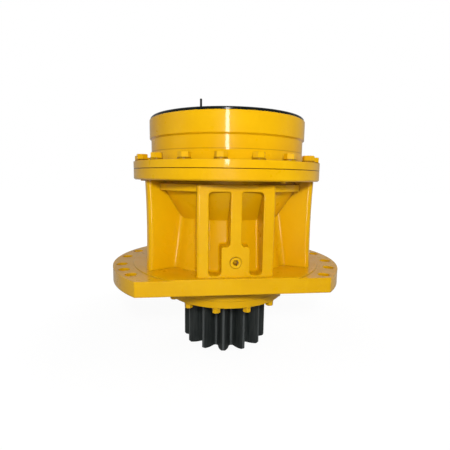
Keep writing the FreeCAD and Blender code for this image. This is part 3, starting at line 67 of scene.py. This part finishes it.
class Graph:
    """Short calls for wiring one material."""

    def __init__(self, name):
        self.material = bpy.data.materials.new(name)
        self.material.use_nodes = True
        self.tree = self.material.node_tree
        self.shader = self.tree.nodes["Principled BSDF"]
        self.places = self.tree.nodes.new("ShaderNodeTexCoord").outputs["Object"]

    def link(self, source, target):
        self.tree.links.new(source, target)

    def node(self, kind, **settings):
        made = self.tree.nodes.new(kind)
        for key, value in settings.items():
            setattr(made, key, value)
        return made

    def set(self, **values):
        """Sets plain numbers on the shader's own sockets."""
        for key, value in values.items():
            self.shader.inputs[key.replace("_", " ")].default_value = value

    def stretched(self, scale):
        """Object coordinates scaled along X, Y and Z."""
        mapping = self.node("ShaderNodeMapping")
        mapping.inputs["Scale"].default_value = scale
        self.link(self.places, mapping.inputs["Vector"])
        return mapping.outputs["Vector"]

    def along(self, axis):
        """One of the object coordinates."""
        parts = self.node("ShaderNodeSeparateXYZ")
        self.link(self.places, parts.inputs["Vector"])
        return parts.outputs[axis]

    def length(self, places):
        """How far coordinates lie from the origin."""
        made = self.node("ShaderNodeVectorMath", operation="LENGTH")
        self.link(places, made.inputs[0])
        return made.outputs["Value"]

    def noise(self, scale, detail, roughness=0.5, places=None):
        """Soft noise with the given number of grains per metre."""
        made = self.node("ShaderNodeTexNoise")
        made.inputs["Scale"].default_value = scale
        made.inputs["Detail"].default_value = detail
        made.inputs["Roughness"].default_value = roughness
        self.link(places or self.places, made.inputs["Vector"])
        return made.outputs["Fac"]

    def range(self, value, low, high, at_low, at_high, interpolation="LINEAR"):
        """Carries low..high to at_low..at_high and holds the ends."""
        return map_range(self.tree, value, low, high, at_low, at_high, interpolation)

    def near(self, value, target, half_width):
        """1 within half a width of a target value, falling off to 0 at a full one."""
        distance = self.maths("ABSOLUTE", self.maths("SUBTRACT", value, target), 0.0)
        return self.range(distance, half_width, 2 * half_width, 1.0, 0.0)

    def mix(self, share, first, second):
        """The first colour where the share is 0 and the second where it is 1."""
        made = self.node("ShaderNodeMix", data_type="RGBA")
        self.link(share, made.inputs["Factor"])
        for socket, colour in (("A", first), ("B", second)):
            target = next(s for s in made.inputs if s.name == socket and s.type == "RGBA")
            if isinstance(colour, tuple):
                target.default_value = (*colour, 1.0)
            else:
                self.link(colour, target)
        return next(s for s in made.outputs if s.type == "RGBA")

    def maths(self, operation, first, second):
        """One sum, product or comparison of two values."""
        made = self.node("ShaderNodeMath", operation=operation)
        for socket, value in zip(made.inputs, (first, second)):
            if isinstance(value, (int, float)):
                socket.default_value = value
            else:
                self.link(value, socket)
        return made.outputs["Value"]

    def bump(self, height, distance, strength=1.0, under=None):
        """Raises the surface by a height pattern, so many metres deep, over the normal under it."""
        made = self.node("ShaderNodeBump")
        made.inputs["Distance"].default_value = distance
        made.inputs["Strength"].default_value = strength
        self.link(height, made.inputs["Height"])
        if under is not None:
            self.link(under, made.inputs["Normal"])
        return made.outputs["Normal"]

    def soft_edges(self, radius):
        """A normal that rounds sharp edges by a radius."""
        bevel = self.node("ShaderNodeBevel", samples=6)
        bevel.inputs["Radius"].default_value = radius
        return bevel.outputs["Normal"]

    def edges(self, radius):
        """1 on the sharp edges of a piece within a radius, 0 on its flats."""
        geometry = self.node("ShaderNodeNewGeometry")
        dot = self.node("ShaderNodeVectorMath", operation="DOT_PRODUCT")
        self.link(self.soft_edges(radius), dot.inputs[0])
        self.link(geometry.outputs["Normal"], dot.inputs[1])
        return self.range(dot.outputs["Value"], 0.99, 0.80, 0.0, 1.0)

    def enclosed(self, reach, closed, open_share):
        """1 where the nearby surfaces close in to the first share, 0 where they leave the second open."""
        shade = self.node("ShaderNodeAmbientOcclusion", samples=8)
        shade.inputs["Distance"].default_value = reach
        return self.range(shade.outputs["AO"], closed, open_share, 1.0, 0.0)

    def done(self, colour, roughness, normal):
        """Links what varies over the surface and gives the material back."""
        for socket, source in (("Base Color", colour), ("Roughness", roughness), ("Normal", normal)):
            self.link(source, self.shader.inputs[socket])
        return self.material


# Finishes

YELLOW = (0.86, 0.475, 0.002)
YELLOW_DEEP = (0.79, 0.41, 0.001)
YELLOW_PALE = (0.89, 0.52, 0.006)
# Painted shade: ochre for the recesses, brown for the crevices, which also draws dark joint lines
PAINTED_RECESS_SHADE = (0.68, 0.36, 0.0006)
JOINT_AND_SHADE_BROWN = (0.16, 0.055, 0.001)
PINION_BLACK = (0.010, 0.013, 0.013)
PINION_STREAK = (0.034, 0.039, 0.037)
PINION_LAND_HIGHLIGHT = (0.11, 0.12, 0.12)
RUBBED_EDGE = (0.10, 0.105, 0.105)
COVER_BLACK = (0.006, 0.009, 0.008)
COVER_SCUFF = (0.020, 0.024, 0.023)
IRON_GREY = (0.16, 0.16, 0.165)
IRON_BROWN = (0.14, 0.10, 0.075)
RUBBER_BLACK = (0.012, 0.012, 0.012)
RUBBER_BLOOM = (0.035, 0.035, 0.034)


def yellow_paint(name, edge_radius, cast_depth=0.0, crevice_shade_reach=0.004, crevice_shade_share=1.0, lines=()):
    """Glossy yellow enamel: slow colour drift, orange peel, and on the casting its grain under it.

    Painted shade makes it deeper and redder in the recesses and darker in the crevices at seams.
    Brown lines run round at given heights, as dark joints and as painted shadow, each with its height, half
    its width and its strength.
    """
    g = Graph(name)
    g.set(Specular_IOR_Level=0.25, Coat_Weight=0.6, Coat_Roughness=0.06)
    drift = g.range(g.noise(7.0, 4.0), 0.35, 0.65, 0.0, 1.0)
    colour = g.mix(drift, YELLOW, YELLOW_DEEP)
    pale_spots = g.range(g.noise(60.0, 2.0), 0.55, 0.75, 0.0, 0.35)
    colour = g.mix(pale_spots, colour, YELLOW_PALE)
    # Painted shade: ochre where surfaces close in within 0.1 m, brown in the narrow crevices
    colour = g.mix(g.enclosed(0.10, 0.25, 0.95), colour, PAINTED_RECESS_SHADE)
    crevice_shade = g.maths("MULTIPLY", g.enclosed(crevice_shade_reach, 0.45, 0.85), crevice_shade_share)
    colour = g.mix(crevice_shade, colour, JOINT_AND_SHADE_BROWN)
    # Brown lines at given heights: dark joints, and painted shadow where a line stands for one
    for height, half_width, strength in lines:
        line = g.maths("MULTIPLY", g.near(g.along("Z"), height, half_width), strength)
        colour = g.mix(line, colour, JOINT_AND_SHADE_BROWN)
    rough = g.range(g.noise(35.0, 3.0), 0.3, 0.7, 0.26, 0.40)
    normal = g.soft_edges(edge_radius)
    if cast_depth > 0:
        normal = g.bump(g.noise(190.0, 5.0, 0.6), cast_depth, under=normal)
    normal = g.bump(g.noise(620.0, 2.0), 0.00008, strength=0.6, under=normal)
    return g.done(colour, rough, normal)


def black_paint(name):
    """Satin black on the pinion: upright brush and hob streaks, rubbed edges, painted highlights on the
    lands.
    """
    g = Graph(name)
    g.set(Specular_IOR_Level=0.35)
    streaks = g.noise(9.0, 4.0, 0.6, g.stretched((40.0, 40.0, 2.0)))
    colour = g.mix(g.range(streaks, 0.3, 0.7, 0.0, 1.0), PINION_BLACK, PINION_STREAK)
    reach = g.length(g.stretched((1.0, 1.0, 0.0)))
    # Painted highlights along the tip lands and along the lands between the teeth
    tip_land_highlight = g.range(reach, PINION_TIP - 0.0012, PINION_TIP - 0.0004, 0.0, 1.0)
    root_land_highlight = g.near(reach, PINION_ROOT, 0.0003)
    land_highlight = g.maths("MULTIPLY", g.maths("MAXIMUM", tip_land_highlight, root_land_highlight), 0.6)
    colour = g.mix(land_highlight, colour, PINION_LAND_HIGHLIGHT)
    worn = g.maths("MULTIPLY", g.edges(0.002), g.range(g.noise(120.0, 3.0), 0.45, 0.7, 0.0, 0.5))
    colour = g.mix(worn, colour, RUBBED_EDGE)
    rough = g.range(streaks, 0.3, 0.7, 0.34, 0.50)
    return g.done(colour, rough, g.bump(streaks, 0.00012, under=g.soft_edges(0.0016)))


def black_cover(name):
    """Smooth black sheet of the transport cover, with fine scuffs."""
    g = Graph(name)
    g.set(Specular_IOR_Level=0.5, Coat_Weight=0.4, Coat_Roughness=0.12)
    scuff = g.range(g.noise(26.0, 6.0, 0.7), 0.5, 0.8, 0.0, 1.0)
    rough = g.range(scuff, 0.0, 1.0, 0.16, 0.34)
    normal = g.bump(g.noise(240.0, 2.0), 0.00005, under=g.soft_edges(0.0010))
    return g.done(g.mix(scuff, COVER_BLACK, COVER_SCUFF), rough, normal)


def steel(name, light, dark, low_rough, high_rough, grain=(6.0, 6.0, 260.0)):
    """Turned or ground steel: fine tool marks and a thin film of oil.

    The grain gives the marks per metre along X, Y and Z: most of them along Z make rings round the axis, and
    most of them across it make upright streaks.
    """
    g = Graph(name)
    g.set(Metallic=1.0)
    marks = g.noise(1.0, 4.0, 0.6, g.stretched(grain))
    film = g.range(g.noise(24.0, 4.0), 0.35, 0.65, 0.0, 1.0)
    rough = g.range(marks, 0.3, 0.7, low_rough, high_rough)
    return g.done(g.mix(film, light, dark), rough, g.bump(marks, 0.00003, under=g.soft_edges(0.0005)))


def cast_iron(name):
    """Bare grey casting with a coarse grain and a brown bloom."""
    g = Graph(name)
    g.set(Metallic=0.6)
    grain = g.noise(210.0, 5.0, 0.65)
    bloom = g.range(g.noise(18.0, 5.0), 0.4, 0.7, 0.0, 1.0)
    rough = g.range(grain, 0.3, 0.7, 0.45, 0.68)
    return g.done(g.mix(bloom, IRON_GREY, IRON_BROWN), rough, g.bump(grain, 0.0004))


def bronze(name, light, dark):
    """Machined bronze or copper with a warm tarnish."""
    g = Graph(name)
    g.set(Metallic=1.0)
    tarnish = g.range(g.noise(30.0, 5.0), 0.35, 0.7, 0.0, 1.0)
    marks = g.noise(1.0, 3.0, 0.6, g.stretched((8.0, 8.0, 300.0)))
    rough = g.range(marks, 0.3, 0.7, 0.22, 0.38)
    return g.done(g.mix(tarnish, light, dark), rough, g.bump(marks, 0.00003))


def rubber(name):
    """Matt black rubber with a fine bloom, on the seals and on the cover's peg."""
    g = Graph(name)
    g.set(Specular_IOR_Level=0.4)
    bloom = g.range(g.noise(70.0, 5.0), 0.4, 0.75, 0.0, 1.0)
    rough = g.range(bloom, 0.0, 1.0, 0.5, 0.7)
    return g.done(g.mix(bloom, RUBBER_BLACK, RUBBER_BLOOM), rough, g.bump(g.noise(500.0, 3.0), 0.00008))


FINISHES = {
    "yellow_paint": yellow_paint("yellow_paint_machined", edge_radius=0.0012),
    "pinion_steel": black_paint("black_pinion_paint"),
    "black_cover": black_cover("black_cover_sheet"),
    "black_steel": steel("blackened_steel", light=(0.06, 0.06, 0.062), dark=(0.035, 0.035, 0.036),
                         low_rough=0.32, high_rough=0.5),
    "bright_steel": steel("ground_steel", light=(0.56, 0.57, 0.58), dark=(0.42, 0.42, 0.42),
                          low_rough=0.16, high_rough=0.32),
    "gear_steel": steel("oiled_gear_steel", light=(0.40, 0.40, 0.41), dark=(0.27, 0.25, 0.22),
                        low_rough=0.2, high_rough=0.36, grain=(240.0, 240.0, 8.0)),
    "cast_iron": cast_iron("bare_cast_iron"),
    "bronze": bronze("machined_bronze", light=(0.62, 0.41, 0.17), dark=(0.40, 0.24, 0.10)),
    "copper": bronze("annealed_copper", light=(0.72, 0.33, 0.19), dark=(0.42, 0.18, 0.10)),
    "seal_rubber": rubber("sealing_rubber"),
}
OWN_FINISHES = {
    # The casing's nose line is the plate's painted shadow; the washers' and bolts' lines are dark joints with
    # painted contact shade
    "casing": yellow_paint("yellow_paint_cast", edge_radius=0.0035, cast_depth=0.0005, crevice_shade_share=0.3,
                           lines=[(FLANGE_JOINT, 0.0006, 1.0), (NOSE_LINE, 0.0035, 0.4)]),
    "ring_gear": yellow_paint("yellow_paint_ring", edge_radius=0.0012, crevice_shade_share=0.4,
                              lines=[(FLANGE_JOINT, 0.0006, 1.0), (DRUM_LINE, 0.0005, 0.45)]),
    "flange_washers": yellow_paint("yellow_paint_washers", edge_radius=0.0004,
                                   lines=[(WASHER_FOOT, 0.0007, 1.0), (WASHER_TOP, 0.0005, 1.0)]),
    "flange_bolts": yellow_paint("yellow_paint_bolts", edge_radius=0.0008, lines=[(WASHER_TOP, 0.0008, 1.0)]),
    "level_plug": yellow_paint("yellow_paint_plug", edge_radius=0.0006, crevice_shade_reach=0.007),
    "dowel_pins": yellow_paint("yellow_paint_dowels", edge_radius=0.0006),
    "cover_peg": rubber("matt_black_peg"),
}


def finish_node(name, node):
    """Gives a CAD node its own finish, or else the finish of its slot."""
    material = OWN_FINISHES.get(name) or FINISHES[SLOT_OF[name]]
    if not node.material_slots:
        node.data.materials.append(material)
    for held in node.material_slots:
        held.material = material


for name, node in NODES.items():
    finish_node(name, node)


# Floor, light and camera

FLOOR_HALF = 9.0
FLOOR_CLEARANCE = 0.0004
AMBIENT = 0.11
MIDDLE = (0, 0, 0.12)
CAMERA_PLACE = (-0.11295, -0.91328, 0.25778)
CAMERA_HEADING = math.radians(6.93)
CAMERA_PITCH = math.radians(7.97)
CAMERA_ROLL = math.radians(0.80)
SENSOR_MILLIMETRES = 36.0
LENS_MILLIMETRES = 27.05


def add_object(name, held):
    """An object in the scene that holds a mesh, lamp or camera."""
    made = bpy.data.objects.new(name, held)
    bpy.context.scene.collection.objects.link(made)
    return made


def pale_floor():
    """White to the eye, with a faint shadow near the gearbox; paler to the back in gloss; grey for light."""
    g = Graph("pale_floor")
    g.set(Roughness=0.9, Specular_IOR_Level=0.1)
    rays = g.node("ShaderNodeLightPath")
    sheet = g.mix(rays.outputs["Is Camera Ray"], (0.22, 0.22, 0.22), (0.95, 0.95, 0.95))
    g.link(g.mix(rays.outputs["Is Glossy Ray"], sheet, (0.10, 0.10, 0.10)), g.shader.inputs["Base Color"])
    seen = g.range(g.length(g.places), 0.35, 0.95, 0.88, 1.0, "SMOOTHSTEP")
    mirrored = g.range(g.along("Y"), -0.6, 0.8, 0.02, 0.40, "SMOOTHSTEP")
    share = g.maths("ADD", g.maths("MULTIPLY", seen, rays.outputs["Is Camera Ray"]),
                    g.maths("MULTIPLY", mirrored, rays.outputs["Is Glossy Ray"]))
    glow = g.node("ShaderNodeEmission")
    glow.inputs["Strength"].default_value = 1.04
    both = g.node("ShaderNodeMixShader")
    g.link(share, both.inputs["Fac"])
    g.link(g.shader.outputs["BSDF"], both.inputs[1])
    g.link(glow.outputs["Emission"], both.inputs[2])
    g.link(both.outputs["Shader"], g.tree.nodes["Material Output"].inputs["Surface"])
    return g.material


def studio_floor():
    """A wide level sheet just under the gearbox, as a square grid of three by three points."""
    steps = np.linspace(-FLOOR_HALF, FLOOR_HALF, 3)
    u, v = np.meshgrid(steps, steps, indexing="ij")
    points = np.stack([u, v, np.full_like(u, FLOOR_HEIGHT - FLOOR_CLEARANCE)], axis=-1).reshape(-1, 3)
    order = np.arange(u.size).reshape(u.shape)
    faces = np.stack([order[:-1, :-1], order[1:, :-1], order[1:, 1:], order[:-1, 1:]], axis=-1)
    mesh = bpy.data.meshes.new("studio_floor")
    mesh.from_pydata(points.tolist(), [], faces.reshape(-1, 4).tolist())
    floor = add_object("studio_floor", mesh)
    floor.data.materials.append(pale_floor())


def studio_world():
    """White to the eye; in gloss a pale backdrop behind and a dim room in front; a soft grey for light."""
    world = bpy.data.worlds.new("studio")
    world.use_nodes = True
    tree = world.node_tree
    background = tree.nodes["Background"]
    background.inputs["Color"].default_value = (1.0, 1.0, 1.0, 1.0)
    way = tree.nodes.new("ShaderNodeTexCoord")
    parts = tree.nodes.new("ShaderNodeSeparateXYZ")
    tree.links.new(way.outputs["Generated"], parts.inputs["Vector"])
    rays = tree.nodes.new("ShaderNodeLightPath")
    mirrored = map_range(tree, parts.outputs["Y"], -0.20, 0.90, 0.03, 0.38)
    lighting = map_range(tree, rays.outputs["Is Glossy Ray"], 0.0, 1.0, AMBIENT, mirrored)
    strength = map_range(tree, rays.outputs["Is Camera Ray"], 0.0, 1.0, lighting, 1.0)
    tree.links.new(strength, background.inputs["Strength"])
    bpy.context.scene.world = world


def soft_lamp(name, place, target, width, height, power, glossy=True):
    """A rectangular lamp at a place that looks at a target, seen or unseen in gloss."""
    lamp = bpy.data.lights.new(name, "AREA")
    lamp.shape = "RECTANGLE"
    lamp.size = width
    lamp.size_y = height
    lamp.energy = power
    made = add_object(name, lamp)
    made.visible_glossy = glossy
    way = (Vector(target) - Vector(place)).normalized()
    made.matrix_world = Matrix.Translation(place) @ way.to_track_quat("-Z", "Y").to_matrix().to_4x4()


def studio_lamps():
    """A key, an upright strip for the long highlight, a low lamp for the ribs' edges, and four around."""
    soft_lamp("front_key", (-0.10, -1.35, 0.64), MIDDLE, width=0.14, height=0.16, power=12.0, glossy=False)
    soft_lamp("upright_strip", (-0.27, -2.4, 0.62), (0, 0, 0.34), width=0.20, height=0.50, power=7.0)
    soft_lamp("low_front", (-0.44, -2.4, -0.01), (0, 0, 0.1), width=0.7, height=0.28, power=4.0)
    for name, across, power in (("left_side", -1.7, 4.5), ("right_side", 1.7, 10.5)):
        soft_lamp(name, (across, -0.4, 0.7), MIDDLE, width=0.8, height=0.8, power=power, glossy=False)
    for name, across in (("left_rear", -1.3), ("right_rear", 1.3)):
        soft_lamp(name, (across, 2.1, 0.8), MIDDLE, width=1.4, height=1.4, power=15.0, glossy=False)


def photo_camera():
    """The camera where the photograph was taken from.

    Its sight turns from +Y by the heading and dips by the pitch, and the frame turns about it by the roll.
    """
    forward = Vector((math.cos(CAMERA_PITCH) * math.sin(CAMERA_HEADING),
                      math.cos(CAMERA_PITCH) * math.cos(CAMERA_HEADING), -math.sin(CAMERA_PITCH)))
    level = Vector((math.cos(CAMERA_HEADING), -math.sin(CAMERA_HEADING), 0))
    upright = level.cross(forward)
    right = level * math.cos(CAMERA_ROLL) + upright * math.sin(CAMERA_ROLL)
    up = upright * math.cos(CAMERA_ROLL) - level * math.sin(CAMERA_ROLL)
    camera = bpy.data.cameras.new("photo_camera")
    camera.sensor_width = SENSOR_MILLIMETRES
    camera.lens = LENS_MILLIMETRES
    camera.clip_start = 0.02
    made = add_object("photo_camera", camera)
    turn = Matrix((right, up, -forward)).transposed().to_4x4()
    made.matrix_world = Matrix.Translation(CAMERA_PLACE) @ turn
    bpy.context.scene.camera = made


studio_floor()
studio_world()
studio_lamps()
photo_camera()
bpy.context.scene.view_settings.view_transform = "Standard"
